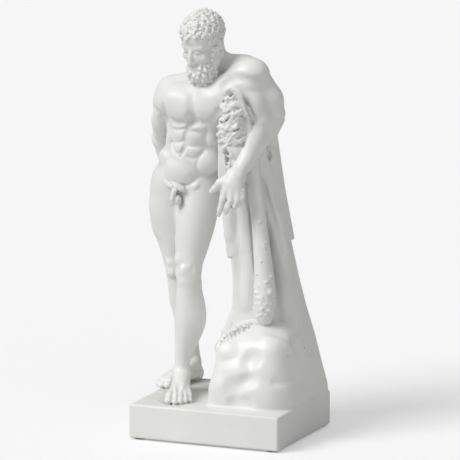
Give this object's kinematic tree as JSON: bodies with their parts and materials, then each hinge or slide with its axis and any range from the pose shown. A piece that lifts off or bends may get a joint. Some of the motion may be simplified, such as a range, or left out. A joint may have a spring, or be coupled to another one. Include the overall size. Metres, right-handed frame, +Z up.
{
  "type": "hercules statue",
  "caption": "Cast tabletop statue of a bearded resting hero leaning on a club draped with a lion skin, one piece with its rock, slab and plinth, on thin corner pads.",
  "frame": {"origin": "on the surface it stands on, under the middle of the whole statue's bounding box", "axes": "+Z up, -Y out of the plinth's front, +X to the viewer's right"},
  "size_m": [0.219, 0.1688, 0.4999],
  "materials": {
    "cast": "off-white resin or plaster cast, smooth satin, faintly darker in the recesses",
    "pad": "thin grey felt"
  },
  "bodies": {
    "root": {"statue": "cast", "corner_pad_front_left": "pad", "corner_pad_front_right": "pad", "corner_pad_back_left": "pad", "corner_pad_back_right": "pad"}
  },
  "joints": []
}
